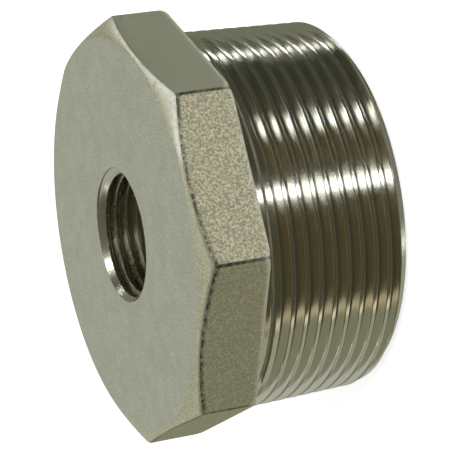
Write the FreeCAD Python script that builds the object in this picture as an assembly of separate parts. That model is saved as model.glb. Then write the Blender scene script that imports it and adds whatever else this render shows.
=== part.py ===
import FreeCAD, Part
import math
import os

V = FreeCAD.Vector

# Stainless steel reducing bushing, cast and machined in one piece, in millimetres.
# Z is the axis of both threads. The origin is the centre of the male end face, the head is up.

# Whole fitting
overall_height = 35.4

# Octagonal head
head_sides = 8
head_height = 10.6
across_flats = 62.8
front_disc_diameter = 61.5
front_chamfer_angle = 25.0
back_disc_diameter = 67.0
back_chamfer_angle = 60.0
head_edge_radius = 0.8

# Male taper thread, 2 inch size: 11 turns per inch, taper 1 in 16 on the diameter, 55 degree form
male_end_diameter = 58.62
male_pitch = 2.309
male_taper = 1.0 / 16.0
male_crest_flat = 0.62
flank_angle = 27.5
male_start_angle = -45.0
end_chamfer_margin = 0.08

# Last turns under the head: the groove runs out to nothing, then a plain neck
neck_length = 1.6
neck_relief = 0.25
runout_turns = 1.0
runout_clearance = 0.55

# Female thread, 1/2 inch size, bored to its minor diameter and countersunk at its mouth
bore_diameter = 18.632
countersink_diameter = 21.4
countersink_angle = 45.0

# Core left open by the casting under the female thread
recess_mouth_diameter = 44.0
recess_depth = 18.0

# Cutting tools reach this far past the faces that they cut
tool_overlap = 1.0

# Worked out from the sizes above
head_underside = overall_height - head_height
neck_start = head_underside - neck_length
corner_radius = across_flats / 2.0 / math.cos(math.pi / head_sides)
male_depth = (male_pitch - male_crest_flat) / (2.0 * math.tan(math.radians(flank_angle)))
end_chamfer = male_depth + end_chamfer_margin
taper_slope = male_taper / 2.0
stock_end = -2.0 * male_pitch
groove_start = -male_pitch
groove_overlap = male_crest_flat / 4.0 / math.tan(math.radians(flank_angle))


def crest_radius(height):
    """Radius of the male thread's crests at a height above the end face."""
    return male_end_diameter / 2.0 + height * taper_slope


def turned(points):
    """Solid of revolution about Z of a closed outline given as (radius, height) pairs."""
    corners = [V(radius, 0, height) for radius, height in points]
    outline = Part.makePolygon(corners + [corners[0]])
    return Part.Face(outline).revolve(V(0, 0, 0), V(0, 0, 1), 360)


def octagon_prism():
    """Straight bar of the head, with a flat facing +X."""
    half_step = math.pi / head_sides
    corners = []
    for side in range(head_sides):
        angle = half_step + side * 2.0 * half_step
        corners.append(V(corner_radius * math.cos(angle), corner_radius * math.sin(angle), head_underside))
    outline = Part.makePolygon(corners + [corners[0]])
    return Part.Face(outline).extrude(V(0, 0, head_height))


def head_envelope():
    """Turned shape that takes the corners off the bar, front and back."""
    outer = corner_radius + tool_overlap
    front_radius = front_disc_diameter / 2.0
    back_radius = back_disc_diameter / 2.0
    front_drop = (outer - front_radius) * math.tan(math.radians(front_chamfer_angle))
    back_rise = (outer - back_radius) * math.tan(math.radians(back_chamfer_angle))
    return turned([
        (0, head_underside),
        (back_radius, head_underside),
        (outer, head_underside + back_rise),
        (outer, overall_height - front_drop),
        (front_radius, overall_height),
        (0, overall_height),
    ])


def head():
    """Octagonal head: the bar's upright edges rounded as cast, its ends chamfered on the lathe."""
    bar = octagon_prism()
    upright = [edge for edge in bar.Edges if edge.BoundBox.ZLength > head_height / 2.0]
    return bar.makeFillet(head_edge_radius, upright).common(head_envelope())


def plug():
    """Turned blank of the male end, up into the head. It is longer than the fitting at the end face."""
    neck_radius = crest_radius(neck_start) - neck_relief
    return turned([
        (0, stock_end),
        (crest_radius(stock_end), stock_end),
        (crest_radius(neck_start - neck_relief), neck_start - neck_relief),
        (neck_radius, neck_start),
        (neck_radius, head_underside + tool_overlap),
        (0, head_underside + tool_overlap),
    ])


def facing():
    """Turned cut that faces the male end to length and chamfers it."""
    outer = crest_radius(0) + tool_overlap
    end_radius = crest_radius(0) - end_chamfer
    return turned([
        (0, stock_end - tool_overlap),
        (outer, stock_end - tool_overlap),
        (outer, outer - end_radius),
        (end_radius, 0),
        (0, 0),
    ])


def groove_section(radius):
    """Triangle of the cutting tool. Half a crest stays between its turns where it stands out of the blank."""
    outer = radius + groove_overlap
    half_width = (male_depth + groove_overlap) * math.tan(math.radians(flank_angle))
    corners = [V(radius - male_depth, 0, 0), V(outer, 0, -half_width), V(outer, 0, half_width)]
    return Part.makePolygon(corners + [corners[0]])


def swept_groove(radius, turns, slope):
    """Groove cut along a helix that starts at height 0 on the +X side, its radius growing by slope."""
    height = turns * male_pitch
    cone_angle = math.degrees(math.atan(slope))
    helix = Part.makeHelix(male_pitch, height, radius, cone_angle)
    sweep = Part.BRepOffsetAPI.MakePipeShell(Part.Wire(helix.Edges))
    sweep.setBiNormalMode(V(0, 0, 1))
    sweep.add(groove_section(radius), False, False)
    sweep.build()
    sweep.makeSolid()
    return sweep.shape()


def male_grooves():
    """The thread's groove at full depth, and its last turn that rises out of the blank."""
    last_full = neck_start + runout_clearance - runout_turns * male_pitch
    full_turns = (last_full - groove_start) / male_pitch
    full = swept_groove(crest_radius(groove_start), full_turns, taper_slope)
    full.translate(V(0, 0, groove_start))
    runout_slope = male_depth / (runout_turns * male_pitch) + taper_slope
    runout = swept_groove(crest_radius(last_full), runout_turns, runout_slope)
    runout.rotate(V(0, 0, 0), V(0, 0, 1), full_turns * 360.0)
    runout.translate(V(0, 0, last_full))
    grooves = [full, runout]
    for groove in grooves:
        groove.rotate(V(0, 0, 0), V(0, 0, 1), male_start_angle)
    return grooves


def bore():
    """Female thread's bore and countersink, longer than the metal that it passes through."""
    radius = bore_diameter / 2.0
    mouth_radius = countersink_diameter / 2.0
    mouth_depth = (mouth_radius - radius) / math.tan(math.radians(countersink_angle))
    return turned([
        (0, recess_depth - tool_overlap),
        (radius, recess_depth - tool_overlap),
        (radius, overall_height - mouth_depth),
        (mouth_radius, overall_height),
        (mouth_radius, overall_height + tool_overlap),
        (0, overall_height + tool_overlap),
    ])


def recess():
    """Cored hollow of the male end."""
    return turned([
        (0, -tool_overlap),
        (recess_mouth_diameter / 2.0, -tool_overlap),
        (recess_mouth_diameter / 2.0, recess_depth),
        (0, recess_depth),
    ])


def reducer():
    """The whole fitting as one solid."""
    body = head().fuse(plug())
    for tool in male_grooves() + [facing(), bore(), recess()]:
        body = body.cut(tool)
    return body.removeSplitter().Solids[0]


os.makedirs("parts", exist_ok=True)
reducer().exportStep("parts/reducer_body.step")
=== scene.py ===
import math
from collections import namedtuple

import bpy
import numpy as np
from mathutils import Matrix, Vector


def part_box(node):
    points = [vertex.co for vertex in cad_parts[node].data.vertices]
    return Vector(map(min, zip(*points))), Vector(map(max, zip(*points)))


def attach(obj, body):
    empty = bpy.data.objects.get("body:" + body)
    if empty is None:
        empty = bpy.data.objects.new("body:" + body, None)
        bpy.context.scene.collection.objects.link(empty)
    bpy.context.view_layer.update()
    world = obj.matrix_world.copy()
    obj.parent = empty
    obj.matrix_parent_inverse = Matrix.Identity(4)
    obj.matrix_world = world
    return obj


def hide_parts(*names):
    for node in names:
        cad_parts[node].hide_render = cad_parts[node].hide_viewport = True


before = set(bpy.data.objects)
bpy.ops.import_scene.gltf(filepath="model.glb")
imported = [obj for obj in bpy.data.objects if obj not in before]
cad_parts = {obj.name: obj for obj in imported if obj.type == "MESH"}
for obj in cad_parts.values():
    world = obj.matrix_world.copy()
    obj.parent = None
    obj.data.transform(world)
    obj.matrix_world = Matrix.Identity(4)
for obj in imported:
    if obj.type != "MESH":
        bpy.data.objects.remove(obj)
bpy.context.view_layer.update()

# The fitting stands on its threaded end with the origin in the middle of that end, in millimetres here
MM = 0.001
FULL_TURN = 2.0 * math.pi
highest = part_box("reducer_body")[1]
overall_height = highest.z / MM
across_flats = 2.0 * highest.x / MM

# Head
head_sides = 8
head_height = 10.6
head_edge_radius = 0.8
front_disc_radius = 30.75
front_chamfer_angle = math.radians(25.0)
front_edge_radius_flat = 0.55
front_edge_radius_corner = 0.9
back_disc_radius = 33.5
back_chamfer_angle = math.radians(60.0)
back_edge_radius = 0.3

# Soft edge of the front disc: half its width, and the share of its drop that is reached in its middle
disc_edge_half_width = 0.15
disc_edge_sink = 0.2

# Male taper thread: 11 turns per inch, 55 degree form
male_end_radius = 29.31
male_pitch = 2.309
male_slope = 1.0 / 32.0
male_crest_flat = 0.62
male_root_flat = 0.12
flank = math.tan(math.radians(27.5))
male_depth = (male_pitch - male_crest_flat - male_root_flat) / (2.0 * flank)
male_groove_height = 2.598
end_chamfer = 1.7
neck_start = 23.2
neck_relief = 0.25
neck_fillet = 0.2

# Run-out of the male groove. Past its last turn the groove goes on above the crests and leaves no trace
runout_end_turn = 9.16
runout_turns = 1.0
depth_past_runout = -0.3

# Female thread: 14 turns per inch, 55 degree form
bore_radius = 9.316
bore_pitch = 1.814
bore_depth = 1.162
bore_root_flat = 0.30
bore_groove_height = 0.1
front_countersink_radius = 10.7
inner_countersink_radius = 9.6

# Hollow of the male end
recess_radius = 22.0
recess_height = 18.0
recess_floor_radius = 0.8
recess_mouth_edge = 0.3

# Rounding where cut surfaces meet
male_edge_blend = 0.14
male_root_blend = 0.20
bore_edge_blend = 0.08
blank_blend = 0.05

# Level rows at the ends of the threads
row_spacing = 0.09

# They reach this far past the end chamfer, and this far past the countersinks and the step down to the neck
end_rows_margin = 0.15
rows_margin = 0.1

# The neck's last row stops this far short of the head
underside_gap = 0.001

# Points across a groove, by shares of the rounding beside its root and its crest
root_shares = (-0.4, 0.1, 0.6)
crest_shares = (-0.9, -0.45, 0.0, 0.45, 0.9)

# Least distance of such a point from the groove's middle, and of a thread's row from a level row
least_offset = 0.02
least_row_gap = 0.002

# Points around each part of the skin
male_columns = 264
bore_columns = 136
flat_columns = 28
edge_columns = 5

# Steps along the outlines of the head and the recess
front_arc_steps = 7
flat_steps = 6
back_arc_steps = 6
mouth_arc_steps = 4
wall_steps = 8
floor_arc_steps = 8

# Rows of the head, front to back: the disc's edge has 3, the front edge 8, the flat 7 and the back edge 7
# Front-edge rows with a painted highlight and with painted shade, and back-edge rows with a painted
# highlight
highlight_rows = range(3, 8)
shaded_rows = range(8, 11)
back_edge_rows = range(18, 21)

# The flat's first and last row lie this far inside its borders
border_width = 0.55

# Depth of the casting's grain on each flat, from the one that faces +X, and elsewhere. A deeper grain also
# makes the colour lighter and adds painted glints, so these values paint the light and shade on each flat as
# well
side_grain_and_light = (1.0, 0.12, 0.35, 0.5, 0.4, 0.5, 0.5, 0.55)
edge_grain_and_light = 0.1
chamfer_grain_and_light = 0.48

# Painted shade along each flat's front edge, and on the upright edges
side_edge_shade = (1.0, 0.0, 0.6, 0.6, 0.6, 0.6, 0.7, 1.0)
rounded_edge_shade = 0.9

# Painted highlight along the front edge, by azimuth in degrees, and along the back edge
highlight_azimuths = (-180, -20, 4, 9, 62, 70, 180)
highlight_shares = (0.15, 0.15, 0.2, 1.0, 0.8, 0.15, 0.15)
back_edge_highlight = 0.5

# Finishes in the order of the material slots, and what each point of the skin tells the cast finish
GROUND, CAST, CUT, BORED = range(4)
# The cast finish's looks: grain with painted light, painted shade along the edges, and a painted highlight
LOOKS = ("grain_and_light", "skin", "edge_highlight")

# Room round the fitting, in metres, and the width of a card's facets in degrees
floor_half_width = 3.0
wall_distance = 1.3
strip_distance = 1.2
lamp_distance = 0.9
card_step = 6.0
middle = Vector((0.0, 0.0, overall_height * MM / 2.0))

# Worked out from the sizes above
half_side = math.pi / head_sides
head_underside = overall_height - head_height
apothem = across_flats / 2.0
corner_reach = apothem / math.cos(half_side) - head_edge_radius * (1.0 / math.cos(half_side) - 1.0)

Thread = namedtuple("Thread", "columns pitch groove_height offsets radius")


class Skin:
    """Points and faces of one closed surface, built ring by ring."""

    def __init__(self):
        self.points = []
        self.looks = []
        self.faces = []
        self.finishes = []

    # A point's looks: its grain, which also paints light, its painted shade along the edges and its painted
    # highlight
    def add(self, radius, angle, height, grain_and_light=0.0, edge_shade=0.0, edge_highlight=0.0):
        self.points.append((radius * math.cos(angle), radius * math.sin(angle), height))
        self.looks.append((grain_and_light, edge_shade, edge_highlight))
        return len(self.points) - 1

    def ring(self, radii, angles, heights, *looks):
        """Closed ring of points. Each value may be one number for the whole ring."""
        columns = [np.broadcast_to(value, len(angles)) for value in (radii, angles, heights, *looks)]
        return [self.add(*values) for values in zip(*columns)]

    def face(self, corners, finish):
        """Face without the corners that fall together. One with fewer than three left isn't made."""
        kept = [c for n, c in enumerate(corners) if c != corners[n - 1]]
        if len(kept) > 2:
            self.faces.append(kept)
            self.finishes.append(finish)

    def band(self, first, second, finish):
        """Faces between two rings. The upper one comes first on an outer wall, the lower one on an inner."""
        if len(first) != len(second):
            self.stitch(first, second, finish)
            return
        for n in range(len(first)):
            m = (n + 1) % len(first)
            self.face([first[n], second[n], second[m], first[m]], finish)

    def angle(self, point):
        x, y, z = self.points[point]
        return math.atan2(y, x) % FULL_TURN

    def opened(self, ring):
        """Points and angles of a ring from its lowest angle round to the same point again."""
        start = min(range(len(ring)), key=lambda n: self.angle(ring[n]))
        turned = ring[start:] + ring[:start]
        angles = [self.angle(point) for point in turned]
        return turned + [turned[0]], angles + [FULL_TURN + angles[0]]

    def stitch(self, first, second, finish):
        """Triangles between two rings that have different numbers of points."""
        a, a_angle = self.opened(first)
        b, b_angle = self.opened(second)
        i = j = 0
        while i < len(a) - 1 or j < len(b) - 1:
            if j == len(b) - 1 or (i < len(a) - 1 and a_angle[i + 1] <= b_angle[j + 1]):
                self.face([a[i], b[j], a[i + 1]], finish)
                i += 1
            else:
                self.face([a[i], b[j], b[j + 1]], finish)
                j += 1


def even_angles(count):
    return np.arange(count) * FULL_TURN / count


def soft_min(a, b, width):
    """Smaller of two values, rounded over where they are within width of each other."""
    share = np.clip(0.5 + 0.5 * (b - a) / width, 0.0, 1.0)
    return b * (1.0 - share) + a * share - width * share * (1.0 - share)


def soft_max(a, b, width):
    return -soft_min(-a, -b, width)


def male_crest_radius(height):
    return male_end_radius + height * male_slope


def male_groove_depth(turn):
    """Depth of the groove at a number of turns from its start."""
    return male_depth * np.clip((runout_end_turn - turn) / runout_turns, depth_past_runout, 1.0)


def male_radius(turn, offset, height):
    """Radius on the male thread at a height and at a distance from the middle of that turn's groove."""
    rise = soft_max(np.abs(offset) - male_root_flat / 2.0, 0.0, male_root_blend) / flank
    groove = male_crest_radius(height) - male_groove_depth(turn) + rise
    return soft_min(male_crest_radius(height), groove, male_edge_blend)


def bore_radius_at(offset):
    """Radius in the female thread at a distance from the middle of its groove."""
    rise = soft_max(np.abs(offset) - bore_root_flat / 2.0, 0.0, bore_edge_blend) / flank
    return soft_max(bore_radius, bore_radius + bore_depth - rise, bore_edge_blend)


def nearest_groove(angle, height, pitch, groove_height):
    """Turn of the groove nearest to a point, and the point's distance from the middle of that groove."""
    around = angle / FULL_TURN
    turn = np.round((height - groove_height) / pitch - around) + around
    return turn, height - groove_height - turn * pitch


def male_blank_radius(height):
    """Turned blank of the male end: end chamfer, taper, step down to the neck, fillet under the head."""
    chamfer = male_crest_radius(0) - end_chamfer + height
    neck = male_crest_radius(neck_start) - neck_relief
    step = neck + max(0.0, neck_start - height)
    fillet_start = head_underside - neck_fillet
    if height > fillet_start:
        drop = height - fillet_start
        return neck + neck_fillet - math.sqrt(max(0.0, neck_fillet ** 2 - drop ** 2))
    return min(chamfer, max(step, neck), male_crest_radius(height))


def groove_offsets(root_flat, depth, pitch, root_blend, edge_blend):
    """Distances from the middle of a groove at which it has points, up to the middle of the crest."""
    root = root_flat / 2.0
    crest = root + depth * flank
    near_root = [max(least_offset, root + share * root_blend) for share in root_shares]
    near_crest = [crest + share * edge_blend * flank for share in crest_shares]
    side = near_root + [0.5 * (root + crest)] + near_crest
    return [-s for s in reversed(side)] + [0.0] + side + [pitch / 2.0]


def thread_band(skin, thread, low_ring, high_ring, low, high, finish):
    """Rows that follow the thread between two level rings. A row ends where it meets a ring."""
    first = math.floor((low - thread.groove_height) / thread.pitch) - 2
    last = math.ceil((high - thread.groove_height) / thread.pitch) + 1
    rows = [(turn, offset) for turn in range(first, last + 1) for offset in thread.offsets]
    numbers = np.zeros((thread.columns + 1, len(rows)), int)
    for column, angle in enumerate(even_angles(thread.columns)):
        for row, (turn, offset) in enumerate(rows):
            here = turn + angle / FULL_TURN
            height = thread.groove_height + here * thread.pitch + offset
            if height <= low + least_row_gap:
                numbers[column, row] = low_ring[column]
            elif height >= high - least_row_gap:
                numbers[column, row] = high_ring[column]
            else:
                numbers[column, row] = skin.add(float(thread.radius(here, offset, height)), angle, height)
    # After a full turn each row goes on as the one a pitch higher
    rows_per_turn = len(thread.offsets)
    numbers[thread.columns, :-rows_per_turn] = numbers[0, rows_per_turn:]
    numbers[thread.columns, -rows_per_turn:] = high_ring[0]
    for column in range(thread.columns):
        for row in range(len(rows) - 1):
            here = numbers[column:column + 2, row:row + 2]
            skin.face([here[0, 0], here[1, 0], here[1, 1], here[0, 1]], finish)


def level_rows(low, high):
    count = max(2, round((high - low) / row_spacing))
    return [low + (high - low) * n / count for n in range(count + 1)]


def male_end(skin):
    """Outside of the male end. Returns its ring in the end face and its ring at the head's underside."""
    angles = even_angles(male_columns)

    def level(height):
        radii = []
        for angle in angles:
            turn, offset = nearest_groove(angle, height, male_pitch, male_groove_height)
            radii.append(soft_min(male_radius(turn, offset, height), male_blank_radius(height), blank_blend))
        return skin.ring(radii, angles, height)

    lower_rows = level_rows(0.0, end_chamfer + end_rows_margin)
    upper_rows = level_rows(neck_start - neck_relief - rows_margin, head_underside - underside_gap)
    lower = [level(height) for height in lower_rows]
    upper = [level(height) for height in upper_rows]
    for rings in (lower, upper):
        for below, above in zip(rings, rings[1:]):
            skin.band(above, below, CUT)
    offsets = groove_offsets(male_root_flat, male_depth, male_pitch, male_root_blend, male_edge_blend)
    thread = Thread(male_columns, male_pitch, male_groove_height, offsets, male_radius)
    thread_band(skin, thread, lower[-1], upper[0], lower_rows[-1], upper_rows[0], CUT)
    return lower[0], upper[-1]


def bore(skin):
    """Female thread and countersinks. Returns its ring in the front face and the one in the recess floor."""
    angles = even_angles(bore_columns)

    def level(height):
        front_cone = front_countersink_radius - (overall_height - height)
        inner_cone = inner_countersink_radius - (height - recess_height)
        radii = []
        for angle in angles:
            turn, offset = nearest_groove(angle, height, bore_pitch, bore_groove_height)
            radii.append(soft_max(bore_radius_at(offset), max(front_cone, inner_cone), blank_blend))
        return skin.ring(radii, angles, height)

    front_depth = front_countersink_radius - bore_radius
    inner_depth = inner_countersink_radius - bore_radius
    front_rows = level_rows(overall_height - front_depth - rows_margin, overall_height)
    inner_rows = level_rows(recess_height, recess_height + inner_depth + rows_margin)
    front = [level(height) for height in front_rows]
    inner = [level(height) for height in inner_rows]
    for rings in (front, inner):
        for below, above in zip(rings, rings[1:]):
            skin.band(below, above, BORED)
    offsets = groove_offsets(bore_root_flat, bore_depth, bore_pitch, bore_edge_blend, bore_edge_blend)
    thread = Thread(bore_columns, bore_pitch, bore_groove_height, offsets,
                    lambda turn, offset, height: bore_radius_at(offset))
    start = len(skin.faces)
    thread_band(skin, thread, inner[-1], front[0], inner_rows[-1], front_rows[0], BORED)
    for corners in skin.faces[start:]:
        corners.reverse()
    return front[-1], inner[0]


def recess(skin):
    """Cored hollow of the male end. Returns its ring in the end face and its ring in the floor."""
    outline = []
    for step in range(mouth_arc_steps + 1):
        turn = step * math.pi / (2 * mouth_arc_steps)
        outline.append((recess_radius + recess_mouth_edge * (1.0 - math.sin(turn)),
                        recess_mouth_edge * (1.0 - math.cos(turn))))
    wall_top = recess_height - recess_floor_radius
    for step in range(1, wall_steps):
        climb = (wall_top - recess_mouth_edge) * step / wall_steps
        outline.append((recess_radius, recess_mouth_edge + climb))
    centre = recess_radius - recess_floor_radius
    for step in range(floor_arc_steps + 1):
        turn = step * math.pi / (2 * floor_arc_steps)
        outline.append((centre + recess_floor_radius * math.cos(turn),
                        wall_top + recess_floor_radius * math.sin(turn)))
    angles = even_angles(bore_columns)
    rings = [skin.ring(radius, angles, height) for radius, height in outline]
    for below, above in zip(rings, rings[1:]):
        skin.band(below, above, CAST)
    return rings[0], rings[-1]


def head_plan():
    """Angle, reach from the axis and side of each column of the octagon. Its rounded edges have no side."""
    centre = (apothem - head_edge_radius) / math.cos(half_side)
    half_flat = (apothem - head_edge_radius) * math.tan(half_side)
    plan = []
    for side in range(head_sides):
        facing = side * 2.0 * half_side
        for step in range(flat_columns):
            along = half_flat * (2.0 * step / (flat_columns - 1) - 1.0)
            plan.append((facing + math.atan2(along, apothem), math.hypot(apothem, along), side))
        for step in range(1, edge_columns):
            turn = facing + 2.0 * half_side * step / edge_columns
            x = centre * math.cos(facing + half_side) + head_edge_radius * math.cos(turn)
            y = centre * math.sin(facing + half_side) + head_edge_radius * math.sin(turn)
            plan.append((math.atan2(y, x), math.hypot(x, y), None))
    return sorted((angle % FULL_TURN, reach, side) for angle, reach, side in plan)


def head_section(reach):
    """Outline of a column of the head, from the front face to the underside, as radii and heights."""
    slope = math.tan(front_chamfer_angle)
    edge_drop = disc_edge_half_width * slope
    outline = [(front_disc_radius - disc_edge_half_width, overall_height),
               (front_disc_radius, overall_height - disc_edge_sink * edge_drop),
               (front_disc_radius + disc_edge_half_width, overall_height - edge_drop)]
    # The arc between the chamfer and the flat touches both
    share = (reach - apothem) / (corner_reach - apothem)
    radius = front_edge_radius_flat + (front_edge_radius_corner - front_edge_radius_flat) * share
    arc_radius = reach - radius
    chamfer_height = overall_height - (arc_radius - front_disc_radius) * slope
    arc_height = chamfer_height - radius / math.cos(front_chamfer_angle)
    for step in range(front_arc_steps + 1):
        turn = (math.pi / 2.0 - front_chamfer_angle) * (1.0 - step / front_arc_steps)
        outline.append((arc_radius + radius * math.cos(turn), arc_height + radius * math.sin(turn)))
    foot = head_underside + max(0.0, (reach - back_disc_radius) * math.tan(back_chamfer_angle))
    bottom = foot + back_edge_radius
    first_row = arc_height - border_width
    last_row = bottom + border_width
    for step in range(flat_steps + 1):
        outline.append((reach, first_row + (last_row - first_row) * step / flat_steps))
    inner = min(reach, back_disc_radius) - back_edge_radius
    for step in range(back_arc_steps + 1):
        turn = math.pi / 2.0 * step / back_arc_steps
        outline.append((inner + (reach - inner) * math.cos(turn),
                        bottom + (head_underside - bottom) * math.sin(turn)))
    return outline


def head(skin):
    """Octagonal head. Returns its ring in the front face and its ring in the underside."""
    angles, reaches, sides = zip(*head_plan())
    sections = [head_section(reach) for reach in reaches]
    # Grain of each column, which also makes the colour lighter with painted glints, painting light and shade
    # on each flat
    grain_and_light = [edge_grain_and_light if side is None else side_grain_and_light[side] for side in sides]
    # Painted shade along each flat's front edge and on the upright rounded edges
    front_edge_shade = [rounded_edge_shade if side is None else side_edge_shade[side] for side in sides]
    upright_edge_shade = [rounded_edge_shade if side is None else 0.0 for side in sides]
    azimuths = [(math.degrees(angle) + 180.0) % 360.0 - 180.0 for angle in angles]
    # Painted highlight along the front edge, strongest at the listed azimuths
    front_highlight = np.interp(azimuths, highlight_azimuths, highlight_shares)
    rings = []
    for row, outline in enumerate(zip(*sections)):
        radii, heights = zip(*outline)
        sand = grain_and_light if row >= shaded_rows[0] else chamfer_grain_and_light
        # Painted shade on the lower rows of the front edge and on the upright rounded edges
        dark = 0.0
        if row in shaded_rows:
            dark = front_edge_shade
        elif row > shaded_rows[-1]:
            dark = upright_edge_shade
        # Painted highlight on the upper rows of the front edge and on the back edge
        edge_highlight = 0.0
        if row in highlight_rows:
            edge_highlight = front_highlight
        elif row in back_edge_rows:
            edge_highlight = back_edge_highlight
        rings.append(skin.ring(radii, angles, heights, sand, dark, edge_highlight))
    for above, below in zip(rings, rings[1:]):
        skin.band(above, below, CAST)
    return rings[0], rings[-1]


def fitting_skin():
    skin = Skin()
    face_outer, underside_outer = head(skin)
    end_outer, underside_inner = male_end(skin)
    face_inner, floor_inner = bore(skin)
    end_inner, floor_outer = recess(skin)
    skin.band(face_inner, face_outer, GROUND)
    skin.band(underside_outer, underside_inner, CAST)
    skin.band(end_outer, end_inner, CUT)
    skin.band(floor_outer, floor_inner, CAST)
    return skin


def area_weighted_normals(mesh):
    """Normals in which large faces count for more, so that flats stay flat up to their rounded edges."""
    normals = np.zeros((len(mesh.vertices), 3))
    for polygon in mesh.polygons:
        normals[list(polygon.vertices)] += np.array(polygon.normal) * polygon.area
    lengths = np.linalg.norm(normals, axis=1, keepdims=True)
    return normals / np.maximum(lengths, 1e-20)


def fitting_piece(name, materials):
    """The whole fitting as one watertight piece."""
    skin = fitting_skin()
    mesh = bpy.data.meshes.new(name)
    points = np.array(skin.points) * MM
    mesh.from_pydata([tuple(p) for p in points], [], skin.faces)
    for material in materials:
        mesh.materials.append(material)
    mesh.polygons.foreach_set("material_index", skin.finishes)
    mesh.polygons.foreach_set("use_smooth", [True] * len(mesh.polygons))
    for look, values in zip(LOOKS, zip(*skin.looks)):
        mesh.attributes.new(look, "FLOAT", "POINT").data.foreach_set("value", values)
    mesh.update()
    mesh.normals_split_custom_set_from_vertices(area_weighted_normals(mesh))
    piece = bpy.data.objects.new(name, mesh)
    bpy.context.scene.collection.objects.link(piece)
    return piece


class Nodes:
    """Node tree of a material or of the world, with short ways to add to it."""

    def __init__(self, owner):
        owner.use_nodes = True
        self.nodes = owner.node_tree.nodes
        self.links = owner.node_tree.links

    def fill(self, node, inputs):
        """Set each input to a value, or link it to another node's output."""
        for name, value in inputs.items():
            if isinstance(value, bpy.types.NodeSocket):
                self.links.new(value, node.inputs[name])
            else:
                node.inputs[name].default_value = value

    def add(self, kind, inputs, **settings):
        """Outputs of a new node."""
        node = self.nodes.new("ShaderNode" + kind)
        for name, value in settings.items():
            setattr(node, name, value)
        self.fill(node, inputs)
        return node.outputs

    def place(self):
        return self.add("TexCoord", {})["Object"]

    def value_of_points(self, look):
        return self.add("Attribute", {}, attribute_name=look)["Fac"]

    def noise(self, scale, detail=2.0, roughness=0.5):
        """Noise through the metal, its scale per metre."""
        inputs = {"Vector": self.place(), "Scale": scale, "Detail": detail, "Roughness": roughness}
        return self.add("TexNoise", inputs)["Fac"]

    def remap(self, value, given, wanted):
        """Value carried from a given range of numbers to a wanted one, and held at its ends."""
        inputs = {"Value": value, "From Min": given[0], "From Max": given[1]}
        inputs.update({"To Min": wanted[0], "To Max": wanted[1]})
        return self.add("MapRange", inputs)["Result"]

    def product(self, first, second):
        return self.add("Math", {0: first, 1: second}, operation="MULTIPLY")[0]

    def scaled(self, colour, factor):
        """Colour made lighter or darker by a factor."""
        return self.add("VectorMath", {0: colour, "Scale": factor}, operation="SCALE")[0]

    def mix(self, share, first, second):
        """Colour between two others: the first at a share of 0, the second at 1."""
        return self.add("Mix", {"A": first, "B": second, "Factor": share}, data_type="RGBA")["Result"]

    def bump(self, height, distance):
        """Normal of a surface that rises by a distance in metres where height is 1."""
        return self.add("Bump", {"Strength": 1.0, "Distance": distance, "Height": height})["Normal"]


def new_material(name):
    material = bpy.data.materials.new(name)
    return material, Nodes(material)


def rgb(red, green, blue):
    return (red, green, blue, 1.0)


def ground_steel():
    """Front face: ground satin with soft blotches and small bright specks."""
    dark = rgb(0.50, 0.51, 0.44)
    light = rgb(0.62, 0.63, 0.56)
    blotch_range = (0.35, 0.65)
    speck_range = (0.3, 0.7)
    material, tree = new_material("ground_steel")
    blotch = tree.noise(scale=300.0, detail=6.0, roughness=0.75)
    speck = tree.noise(scale=2600.0)
    colour = tree.mix(tree.remap(blotch, blotch_range, (0.0, 1.0)), dark, light)
    tree.fill(tree.nodes["Principled BSDF"], {
        "Base Color": tree.scaled(colour, tree.remap(speck, speck_range, (0.84, 1.16))),
        "Metallic": 1.0,
        "Roughness": tree.remap(blotch, blotch_range, (0.34, 0.46)),
        "Normal": tree.bump(speck, distance=0.00004),
    })
    return material


def cast_steel():
    """Cast flats and chamfers: sand as deep as the grain says, with painted light and painted glints that
    grow with it, painted shade along the edges and a painted highlight on the edges.
    """
    # Shaded smooth sides and lit sandy sides: these colours paint light and shade as well as the grain
    smooth_shaded_colour = rgb(0.38, 0.39, 0.31)
    sandy_lit_colour = rgb(0.76, 0.72, 0.51)
    # Colour of the painted shade along the edges
    painted_shade_colour = rgb(0.10, 0.10, 0.07)
    # Colour of the painted highlight on the edges
    highlight_colour = rgb(0.98, 0.97, 0.87)
    whole = (0.0, 1.0)
    either_way = (-0.5, 0.5)
    material, tree = new_material("cast_steel")
    grain_and_light, skin, edge_highlight = [tree.value_of_points(look) for look in LOOKS]
    sand = tree.noise(scale=3100.0, detail=3.0, roughness=0.65)
    scratch = tree.noise(scale=1100.0, detail=3.0, roughness=0.7)
    # Painted highlight along the edges, broken up by noise
    edge_highlight = tree.product(edge_highlight, tree.remap(scratch, (0.32, 0.52), (0.40, 1.0)))
    # Painted shade along the edges, broken up by the same noise
    skin = tree.product(skin, tree.remap(scratch, (0.38, 0.62), (0.15, 1.15)))
    # Deep grain lightens the colour, and the sand noise scales it into painted glints
    sand_tone_and_glint = tree.product(tree.remap(sand, (0.40, 0.70), either_way), grain_and_light)
    plain = tree.mix(grain_and_light, smooth_shaded_colour, sandy_lit_colour)
    sandy_with_glints = tree.scaled(plain, tree.remap(sand_tone_and_glint, either_way, (0.66, 1.72)))
    with_painted_shade = tree.mix(skin, sandy_with_glints, painted_shade_colour)
    # Deep sand and the painted highlight scatter the light more than plain metal does
    clean = tree.product(tree.remap(grain_and_light, (0.3, 1.0), (1.0, 0.45)), tree.remap(edge_highlight, whole, (1.0, 0.2)))
    tree.fill(tree.nodes["Principled BSDF"], {
        "Base Color": tree.mix(edge_highlight, with_painted_shade, highlight_colour),
        "Metallic": clean,
        "Roughness": tree.remap(grain_and_light, whole, (0.56, 0.36)),
        "Normal": tree.bump(tree.product(sand, grain_and_light), distance=0.00030),
    })
    return material


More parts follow.
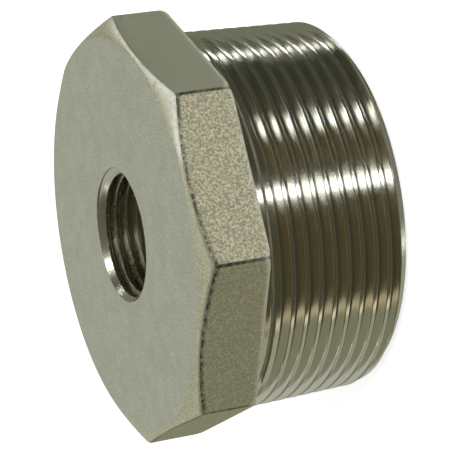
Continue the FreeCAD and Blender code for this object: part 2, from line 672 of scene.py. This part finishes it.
def cut_steel(name, roughness, dark, light):
    """Threads: bright cut metal with fine tool marks round the axis."""
    roughness_swing = 0.03
    material, tree = new_material(name)
    blotch = tree.noise(scale=300.0, detail=3.0)
    height = tree.add("SeparateXYZ", {0: tree.place()})["Z"]
    marks = tree.add("TexNoise", {"Scale": 9000.0, "W": height}, noise_dimensions="1D")["Fac"]
    rough = tree.remap(blotch, (0.3, 0.7), (roughness - roughness_swing, roughness + roughness_swing))
    tree.fill(tree.nodes["Principled BSDF"], {
        "Base Color": tree.mix(blotch, dark, light),
        "Metallic": 1.0,
        "Roughness": rough,
        "Normal": tree.bump(marks, distance=0.000004),
    })
    return material


def seen_directly(tree):
    """1 for rays from the camera, from gloss and through glass, 0 for the light that falls on things."""
    path = tree.add("LightPath", {})
    either = path["Is Camera Ray"]
    for name in ("Is Glossy Ray", "Is Transmission Ray"):
        either = tree.add("Math", {0: either, 1: path[name]}, operation="MAXIMUM")[0]
    return either


def white_world():
    """World that is seen as white and lights dull surfaces softly."""
    soft_strength = 0.45
    world = bpy.data.worlds.new("white_room")
    bpy.context.scene.world = world
    tree = Nodes(world)
    world.cycles.sampling_method = "NONE"
    tree.fill(tree.nodes["Background"], {
        "Color": rgb(1.0, 1.0, 1.0),
        "Strength": tree.remap(seen_directly(tree), (0.0, 1.0), (soft_strength, 1.0)),
    })


def floor_material():
    """Pale floor that reads as white where the light reaches it and keeps the shadow."""
    seen_glow = 0.72
    material, tree = new_material("pale_floor")
    tree.nodes.remove(tree.nodes["Principled BSDF"])
    diffuse = tree.add("BsdfDiffuse", {"Color": rgb(0.8, 0.8, 0.8)})[0]
    strength = tree.remap(seen_directly(tree), (0.0, 1.0), (0.0, seen_glow))
    glow = tree.add("Emission", {"Strength": strength})[0]
    both = tree.add("AddShader", {0: diffuse, 1: glow})[0]
    tree.fill(tree.nodes["Material Output"], {"Surface": both})
    return material


def card_material(name, colour, strength):
    """Glowing card. Only the rays that the metal reflects find it, and it throws no light of its own."""
    material, tree = new_material(name)
    tree.nodes.remove(tree.nodes["Principled BSDF"])
    glow = tree.add("Emission", {"Color": colour, "Strength": strength})[0]
    tree.fill(tree.nodes["Material Output"], {"Surface": glow})
    material.cycles.emission_sampling = "NONE"
    return material


def sheet_piece(name, corners, faces, material):
    mesh = bpy.data.meshes.new(name)
    mesh.from_pydata(corners, [], faces)
    mesh.materials.append(material)
    piece = bpy.data.objects.new(name, mesh)
    bpy.context.scene.collection.objects.link(piece)
    return piece


def floor_sheet():
    """Floor under the fitting. The metal looks past it at the cards."""
    edge = floor_half_width
    corners = [(-edge, -edge, 0), (edge, -edge, 0), (edge, edge, 0), (-edge, edge, 0)]
    floor = sheet_piece("floor", corners, [(0, 1, 2, 3)], floor_material())
    floor.visible_glossy = False


def direction(azimuth, elevation):
    """Unit vector at an azimuth from +X and an elevation from level, in degrees."""
    a = math.radians(azimuth)
    e = math.radians(elevation)
    return Vector((math.cos(e) * math.cos(a), math.cos(e) * math.sin(a), math.sin(e)))


def spread(low, high):
    """Angles from low to high, at most one card step apart."""
    count = max(1, math.ceil((high - low) / card_step))
    return [low + (high - low) * n / count for n in range(count + 1)]


def card(name, azimuths, elevations, colour, strength, distance):
    """Patch of a sphere round the fitting, seen by the metal and by nothing else."""
    around = spread(*azimuths)
    upward = spread(*elevations)
    corners = [middle + direction(a, e) * distance for e in upward for a in around]
    faces = []
    for row in range(len(upward) - 1):
        for column in range(len(around) - 1):
            corner = row * len(around) + column
            faces.append((corner, corner + 1, corner + len(around) + 1, corner + len(around)))
    piece = sheet_piece(name, corners, faces, card_material(name, colour, strength))
    piece.visible_camera = False
    piece.visible_diffuse = False
    piece.visible_shadow = False
    piece.visible_transmission = False


def lamp(name, azimuth, elevation, size, radiance, mirrored):
    """Square area lamp that points at the fitting. One that isn't mirrored only lights what is dull."""
    data = bpy.data.lights.new(name, "AREA")
    data.size = size
    data.energy = radiance * math.pi * size ** 2
    lamp_object = bpy.data.objects.new(name, data)
    away = direction(azimuth, elevation)
    lamp_object.location = middle + away * lamp_distance
    lamp_object.rotation_euler = away.to_track_quat("Z", "Y").to_euler()
    lamp_object.visible_glossy = mirrored
    bpy.context.scene.collection.objects.link(lamp_object)


def photo_camera():
    """Camera at the photograph's place: the fitting's axis runs to the left and towards the lens."""
    place = Vector((337.092, -66.947, 155.893))
    right = Vector((0.33227, -0.22377, -0.91625))
    down = Vector((-0.24556, -0.95847, 0.14503))
    forward = Vector((-0.91066, 0.17681, -0.37342))
    data = bpy.data.cameras.new("camera")
    data.lens = 185.41
    data.sensor_width = 36.0
    data.clip_start = 0.01
    data.clip_end = 20.0
    camera = bpy.data.objects.new("camera", data)
    turn = Matrix((right, -down, -forward)).transposed().to_4x4()
    camera.matrix_world = Matrix.Translation(place * MM) @ turn
    bpy.context.scene.collection.objects.link(camera)
    bpy.context.scene.camera = camera


finishes = [
    ground_steel(),
    cast_steel(),
    cut_steel("cut_steel", 0.14, rgb(0.62, 0.61, 0.56), rgb(0.68, 0.67, 0.62)),
    # Darker and browner than the cut steel: painted shade inside the bore, which the countersinks share
    cut_steel("bored_steel", 0.28, rgb(0.54, 0.52, 0.43), rgb(0.62, 0.60, 0.51)),
]
fitting = fitting_piece("reducer_detail", finishes)
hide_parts("reducer_body")
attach(fitting, "root")

white_world()
floor_sheet()

# Colours of the cards
night = rgb(1.0, 0.94, 0.52)
brown = rgb(1.0, 0.80, 0.38)
olive = rgb(0.96, 1.0, 0.72)
stone = rgb(0.99, 1.0, 0.87)
tan = rgb(1.0, 0.89, 0.62)
white = rgb(0.97, 1.0, 0.97)

# Elevations of the cards. The level ones show on the crests and the flats, the low ones in the grooves
level_zone = (-32, -8)
low_zone = (-65, -32)
studio_zone = (-8, 55)
ceiling_zone = (55, 89)

# Room that the metal mirrors: azimuths, elevations, colour and strength
room = {
    "level_night_left": ((-3, 34), level_zone, night, 0.065),
    "level_dusk_left": ((34, 106), level_zone, olive, 0.075),
    "level_olive_left": ((106, 180), level_zone, olive, 0.19),
    "level_olive_back": ((-180, -135), level_zone, olive, 0.25),
    "level_olive_right": ((-135, -88), level_zone, olive, 0.44),
    "level_night_right": ((-88, -3), level_zone, night, 0.08),
    "low_brown_left": ((-3, 106), low_zone, brown, 0.15),
    "low_olive_left": ((106, 180), low_zone, olive, 0.22),
    "low_olive_right": ((-180, -85), low_zone, olive, 0.38),
    "low_brown_right": ((-85, -3), low_zone, brown, 0.14),
    "below": ((-180, 180), (-89, -65), stone, 0.26),
    "studio_dark": ((-125, 92), studio_zone, olive, 0.09),
    "studio_left": ((92, 118), (-8, 24), olive, 0.20),
    "studio_dark_left": ((92, 118), (24, 55), olive, 0.09),
    "studio_olive": ((118, 150), studio_zone, olive, 0.24),
    "backdrop": ((150, 235), studio_zone, stone, 0.58),
    "ceiling_dark": ((-130, 120), ceiling_zone, olive, 0.16),
    "ceiling_light": ((120, 230), ceiling_zone, stone, 0.70),
}
for name, values in room.items():
    card(name, *values, wall_distance)

# Strips and lamps that show as the bright marks: azimuths, elevations, colour and strength
strips = {
    "white_strip_high": ((-4, 0.5), (-32, -12), white, 5.0),
    "white_strip_middle": ((-3, 3.5), (-48, -32), white, 8.0),
    "white_strip_low": ((0, 7), (-65, -48), white, 8.0),
    "upper_lamp": ((100.0, 103.0), (-27, -20), white, 8.0),
    "upper_lamp_high": ((99.8, 103.0), (-20, -13), white, 12.0),
    "upper_lamp_low": ((99.8, 103.0), (-33, -27), white, 9.0),
    "pad_glow": ((4, 32), (-8, 12), stone, 0.35),
    "middle_lamp": ((41.5, 49.5), (-49, -34), white, 7.0),
    "tan_patch": ((-86, -79), (-46, -22), tan, 1.15),
    "end_lamp": ((180, 185), (-60, -56), white, 3.0),
    "sky_card": ((126, 175), (55, 75), white, 1.8),
}
for name, values in strips.items():
    card(name, *values, strip_distance)

# Lamps: azimuth, elevation, size, radiance, and whether the metal mirrors them
lamp("key", 65, 59, 0.11, 20.0, True)
lamp("side", 114, 31, 0.07, 8.0, True)
lamp("back", -129, 37, 0.08, 4.0, True)
lamp("soft", 20, 50, 0.5, 3.0, False)

photo_camera()
bpy.context.scene.view_settings.view_transform = "Standard"
